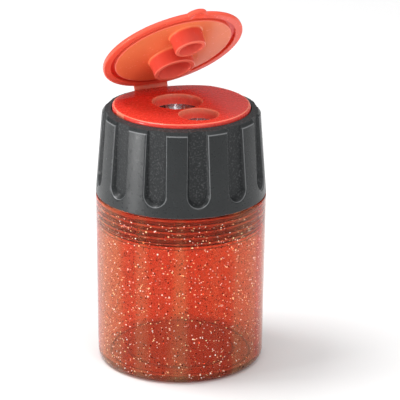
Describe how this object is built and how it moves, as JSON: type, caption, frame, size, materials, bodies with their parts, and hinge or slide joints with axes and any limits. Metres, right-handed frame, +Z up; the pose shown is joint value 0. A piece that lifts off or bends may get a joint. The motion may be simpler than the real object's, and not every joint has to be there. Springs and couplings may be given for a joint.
{
  "type": "pencil sharpener",
  "caption": "Tub pencil sharpener: fluted screw cap with jumbo and standard pencil holes, flip lid whose plugs close them, translucent glitter tub for shavings.",
  "frame": {"origin": "centre of the tub's flat underside", "axes": "+Z up along the tub's axis, +Y towards the lid's hinge, -Y towards the lid's thumb tab"},
  "size_m": [0.042, 0.042, 0.0917],
  "materials": {
    "tub_plastic": "translucent red with glitter",
    "cap_plastic": "satin black",
    "red_plastic": "glossy red",
    "body_metal": "bright cast and machined",
    "blade_steel": "ground steel",
    "screw_steel": "plated steel"
  },
  "bodies": {
    "tub": {"tub": "tub_plastic"},
    "thread_skirt": {"thread_skirt": "cap_plastic"},
    "cap": {"collar": "cap_plastic", "insert_disc": "red_plastic", "living_hinge": "red_plastic", "sharpener_body": "body_metal", "blade_large": "blade_steel", "blade_small": "blade_steel", "screw_large": "screw_steel", "screw_small": "screw_steel"},
    "lid": {"lid": "red_plastic"}
  },
  "joints": [
    {"name": "cap_lift", "type": "slide", "parent": "tub", "child": "thread_skirt", "axis": [0, 0, 1], "range_m": [0, 0.0079]},
    {"name": "cap_turn", "type": "hinge", "parent": "thread_skirt", "child": "cap", "pos_m": [0, 0, 0.045], "axis": [0, 0, 1], "range_deg": [0, 1880]},
    {"name": "lid_hinge", "type": "hinge", "parent": "cap", "child": "lid", "pos_m": [0, 0.0169, 0.0656], "axis": [-1, 0, 0], "range_deg": [-43.5, 105], "deforming": ["living_hinge"]}
  ],
  "couplings": [
    {"joint": "cap_lift", "follows": "cap_turn", "m_per_rad": 0.00023873}
  ]
}
